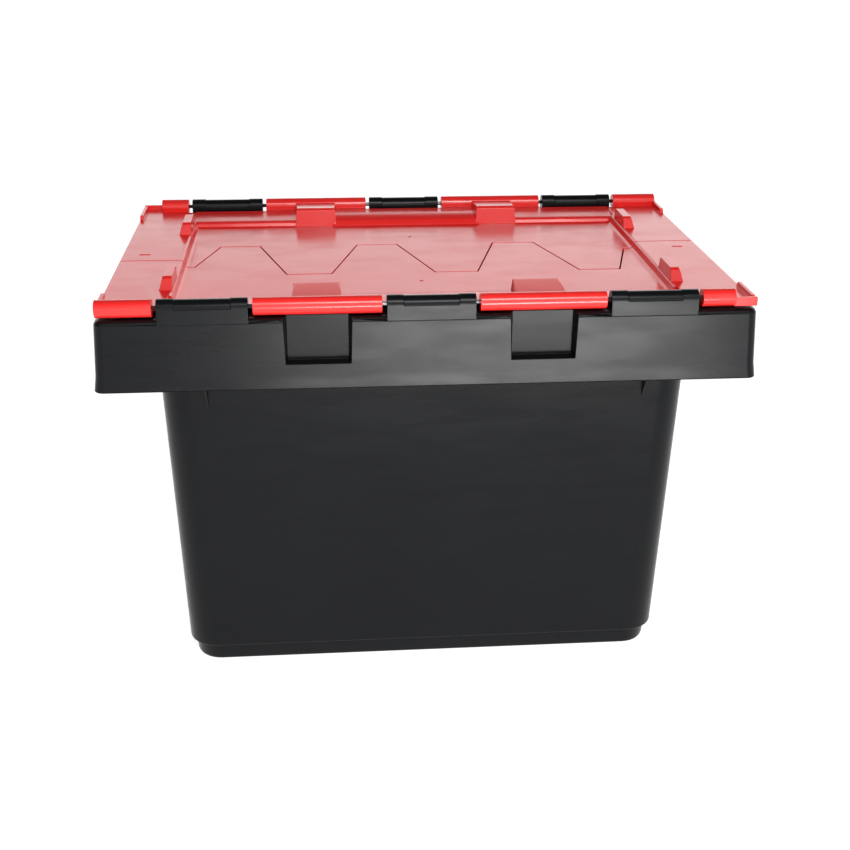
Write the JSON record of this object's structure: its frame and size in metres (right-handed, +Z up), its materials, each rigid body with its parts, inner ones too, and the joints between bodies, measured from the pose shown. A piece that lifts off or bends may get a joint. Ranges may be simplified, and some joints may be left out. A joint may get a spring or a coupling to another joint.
{
  "type": "attached lid tote",
  "caption": "Tapered nesting storage tote with a deep rim skirt and an interleaving two-flap lid on steel hinge rods along the long sides.",
  "frame": {"origin": "centre of the footprint on the floor, under the foot of the tub", "axes": "+X along the long side to the right, +Y from front to rear, +Z up"},
  "size_m": [0.6, 0.4, 0.4],
  "materials": {
    "tub_plastic": "satin black moulded polypropylene",
    "lid_plastic": "glossy red moulded polypropylene",
    "rod_steel": "plain drawn steel wire, slightly dull"
  },
  "bodies": {
    "tote": {"tub": "tub_plastic", "front_hinge_rod": "rod_steel", "rear_hinge_rod": "rod_steel"},
    "front_flap": {"front_lid_flap": "lid_plastic"},
    "rear_flap": {"rear_lid_flap": "lid_plastic"}
  },
  "joints": [
    {"name": "front_lid_hinge", "type": "hinge", "parent": "tote", "child": "front_flap", "pos_m": [0, -0.1875, 0.392], "axis": [1, 0, 0], "range_deg": [0, 231]},
    {"name": "rear_lid_hinge", "type": "hinge", "parent": "tote", "child": "rear_flap", "pos_m": [0, 0.1875, 0.392], "axis": [-1, 0, 0], "range_deg": [0, 231]}
  ]
}
